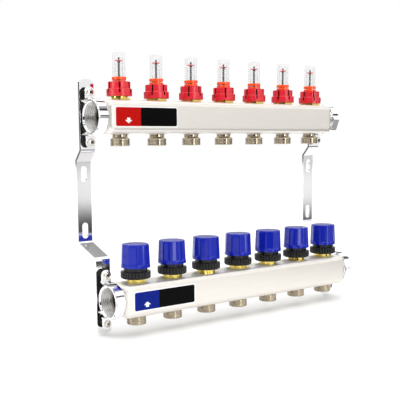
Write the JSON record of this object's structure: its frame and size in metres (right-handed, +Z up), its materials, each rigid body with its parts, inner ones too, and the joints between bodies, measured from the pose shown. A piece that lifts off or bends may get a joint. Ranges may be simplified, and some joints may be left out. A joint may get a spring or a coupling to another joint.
{
  "type": "underfloor heating manifold",
  "caption": "Wall-mounted underfloor heating manifold: supply bar with flowmeters above a return bar with hand-cap valves, on cranked brackets.",
  "frame": {"origin": "on the wall face of the left bracket, midway between its two slots", "axes": "+X along the bars to the right, +Y to the wall, +Z up"},
  "size_m": [0.378, 0.0805, 0.3105],
  "materials": {
    "stainless": "brushed",
    "chrome": "polished",
    "nickel": "turned, nickel-plated",
    "brass": "turned",
    "clear": "clear",
    "orange": "gloss",
    "red": "satin",
    "blue": "gloss",
    "black": "satin",
    "rubber": "matt",
    "steel_dark": "satin",
    "label_red": "printed film",
    "label_blue": "printed film"
  },
  "bodies": {
    "manifold": {"supply_bar": "stainless", "return_bar": "stainless", "socket_supply_left": "chrome", "socket_supply_right": "chrome", "socket_return_left": "chrome", "socket_return_right": "chrome", "supply_outlets": "nickel", "return_outlets": "nickel", "meter_bodies": "brass", "sight_tubes": "clear", "lock_rings": "orange", "valve_inserts": "brass", "ring_nuts": "black", "cap_necks": "black", "bracket_left": "chrome", "bracket_right": "chrome", "clamp_straps": "chrome", "clamp_liners": "rubber", "clamp_screws": "chrome", "clamp_nuts": "chrome", "label_supply": "label_red", "label_return": "label_blue", "spring_1": "steel_dark", "spring_2": "steel_dark", "spring_3": "steel_dark", "spring_4": "steel_dark", "spring_5": "steel_dark", "spring_6": "steel_dark", "spring_7": "steel_dark"},
    "collar_1": {"collar_1": "red"},
    "indicator_1": {"indicator_1": "steel_dark"},
    "stem_1": {"stem_1": "brass"},
    "cap_1": {"cap_1": "blue"},
    "collar_2": {"collar_2": "red"},
    "indicator_2": {"indicator_2": "steel_dark"},
    "stem_2": {"stem_2": "brass"},
    "cap_2": {"cap_2": "blue"},
    "collar_3": {"collar_3": "red"},
    "indicator_3": {"indicator_3": "steel_dark"},
    "stem_3": {"stem_3": "brass"},
    "cap_3": {"cap_3": "blue"},
    "collar_4": {"collar_4": "red"},
    "indicator_4": {"indicator_4": "steel_dark"},
    "stem_4": {"stem_4": "brass"},
    "cap_4": {"cap_4": "blue"},
    "collar_5": {"collar_5": "red"},
    "indicator_5": {"indicator_5": "steel_dark"},
    "stem_5": {"stem_5": "brass"},
    "cap_5": {"cap_5": "blue"},
    "collar_6": {"collar_6": "red"},
    "indicator_6": {"indicator_6": "steel_dark"},
    "stem_6": {"stem_6": "brass"},
    "cap_6": {"cap_6": "blue"},
    "collar_7": {"collar_7": "red"},
    "indicator_7": {"indicator_7": "steel_dark"},
    "stem_7": {"stem_7": "brass"},
    "cap_7": {"cap_7": "blue"}
  },
  "joints": [
    {"name": "collar_1_turn", "type": "hinge", "parent": "manifold", "child": "collar_1", "pos_m": [0.03, -0.033, 0.124], "axis": [0, 0, 1], "range_deg": [-450, 450]},
    {"name": "indicator_1_slide", "type": "slide", "parent": "manifold", "child": "indicator_1", "axis": [0, 0, -1], "range_m": [0, 0.015], "stiffness_N_per_m": 8, "springref_m": -0.004, "deforming": ["spring_1"]},
    {"name": "stem_1_slide", "type": "slide", "parent": "manifold", "child": "stem_1", "axis": [0, 0, 1], "range_m": [-0.00225, 0]},
    {"name": "cap_1_turn", "type": "hinge", "parent": "stem_1", "child": "cap_1", "pos_m": [0.03, -0.06, -0.057], "axis": [0, 0, 1], "range_deg": [-541, 1]},
    {"name": "collar_2_turn", "type": "hinge", "parent": "manifold", "child": "collar_2", "pos_m": [0.08, -0.033, 0.124], "axis": [0, 0, 1], "range_deg": [-450, 450]},
    {"name": "indicator_2_slide", "type": "slide", "parent": "manifold", "child": "indicator_2", "axis": [0, 0, -1], "range_m": [0, 0.015], "stiffness_N_per_m": 8, "springref_m": -0.004, "deforming": ["spring_2"]},
    {"name": "stem_2_slide", "type": "slide", "parent": "manifold", "child": "stem_2", "axis": [0, 0, 1], "range_m": [-0.00225, 0]},
    {"name": "cap_2_turn", "type": "hinge", "parent": "stem_2", "child": "cap_2", "pos_m": [0.08, -0.06, -0.057], "axis": [0, 0, 1], "range_deg": [-541, 1]},
    {"name": "collar_3_turn", "type": "hinge", "parent": "manifold", "child": "collar_3", "pos_m": [0.13, -0.033, 0.124], "axis": [0, 0, 1], "range_deg": [-450, 450]},
    {"name": "indicator_3_slide", "type": "slide", "parent": "manifold", "child": "indicator_3", "axis": [0, 0, -1], "range_m": [0, 0.015], "stiffness_N_per_m": 8, "springref_m": -0.004, "deforming": ["spring_3"]},
    {"name": "stem_3_slide", "type": "slide", "parent": "manifold", "child": "stem_3", "axis": [0, 0, 1], "range_m": [-0.00225, 0]},
    {"name": "cap_3_turn", "type": "hinge", "parent": "stem_3", "child": "cap_3", "pos_m": [0.13, -0.06, -0.057], "axis": [0, 0, 1], "range_deg": [-541, 1]},
    {"name": "collar_4_turn", "type": "hinge", "parent": "manifold", "child": "collar_4", "pos_m": [0.18, -0.033, 0.124], "axis": [0, 0, 1], "range_deg": [-450, 450]},
    {"name": "indicator_4_slide", "type": "slide", "parent": "manifold", "child": "indicator_4", "axis": [0, 0, -1], "range_m": [0, 0.015], "stiffness_N_per_m": 8, "springref_m": -0.004, "deforming": ["spring_4"]},
    {"name": "stem_4_slide", "type": "slide", "parent": "manifold", "child": "stem_4", "axis": [0, 0, 1], "range_m": [-0.00225, 0]},
    {"name": "cap_4_turn", "type": "hinge", "parent": "stem_4", "child": "cap_4", "pos_m": [0.18, -0.06, -0.057], "axis": [0, 0, 1], "range_deg": [-541, 1]},
    {"name": "collar_5_turn", "type": "hinge", "parent": "manifold", "child": "collar_5", "pos_m": [0.23, -0.033, 0.124], "axis": [0, 0, 1], "range_deg": [-450, 450]},
    {"name": "indicator_5_slide", "type": "slide", "parent": "manifold", "child": "indicator_5", "axis": [0, 0, -1], "range_m": [0, 0.015], "stiffness_N_per_m": 8, "springref_m": -0.004, "deforming": ["spring_5"]},
    {"name": "stem_5_slide", "type": "slide", "parent": "manifold", "child": "stem_5", "axis": [0, 0, 1], "range_m": [-0.00225, 0]},
    {"name": "cap_5_turn", "type": "hinge", "parent": "stem_5", "child": "cap_5", "pos_m": [0.23, -0.06, -0.057], "axis": [0, 0, 1], "range_deg": [-541, 1]},
    {"name": "collar_6_turn", "type": "hinge", "parent": "manifold", "child": "collar_6", "pos_m": [0.28, -0.033, 0.124], "axis": [0, 0, 1], "range_deg": [-450, 450]},
    {"name": "indicator_6_slide", "type": "slide", "parent": "manifold", "child": "indicator_6", "axis": [0, 0, -1], "range_m": [0, 0.015], "stiffness_N_per_m": 8, "springref_m": -0.004, "deforming": ["spring_6"]},
    {"name": "stem_6_slide", "type": "slide", "parent": "manifold", "child": "stem_6", "axis": [0, 0, 1], "range_m": [-0.00225, 0]},
    {"name": "cap_6_turn", "type": "hinge", "parent": "stem_6", "child": "cap_6", "pos_m": [0.28, -0.06, -0.057], "axis": [0, 0, 1], "range_deg": [-541, 1]},
    {"name": "collar_7_turn", "type": "hinge", "parent": "manifold", "child": "collar_7", "pos_m": [0.33, -0.033, 0.124], "axis": [0, 0, 1], "range_deg": [-450, 450]},
    {"name": "indicator_7_slide", "type": "slide", "parent": "manifold", "child": "indicator_7", "axis": [0, 0, -1], "range_m": [0, 0.015], "stiffness_N_per_m": 8, "springref_m": -0.004, "deforming": ["spring_7"]},
    {"name": "stem_7_slide", "type": "slide", "parent": "manifold", "child": "stem_7", "axis": [0, 0, 1], "range_m": [-0.00225, 0]},
    {"name": "cap_7_turn", "type": "hinge", "parent": "stem_7", "child": "cap_7", "pos_m": [0.33, -0.06, -0.057], "axis": [0, 0, 1], "range_deg": [-541, 1]}
  ],
  "couplings": [
    {"joint": "cap_1_turn", "follows": "stem_1_slide", "rad_per_m": 4188.8},
    {"joint": "cap_2_turn", "follows": "stem_2_slide", "rad_per_m": 4188.8},
    {"joint": "cap_3_turn", "follows": "stem_3_slide", "rad_per_m": 4188.8},
    {"joint": "cap_4_turn", "follows": "stem_4_slide", "rad_per_m": 4188.8},
    {"joint": "cap_5_turn", "follows": "stem_5_slide", "rad_per_m": 4188.8},
    {"joint": "cap_6_turn", "follows": "stem_6_slide", "rad_per_m": 4188.8},
    {"joint": "cap_7_turn", "follows": "stem_7_slide", "rad_per_m": 4188.8}
  ]
}
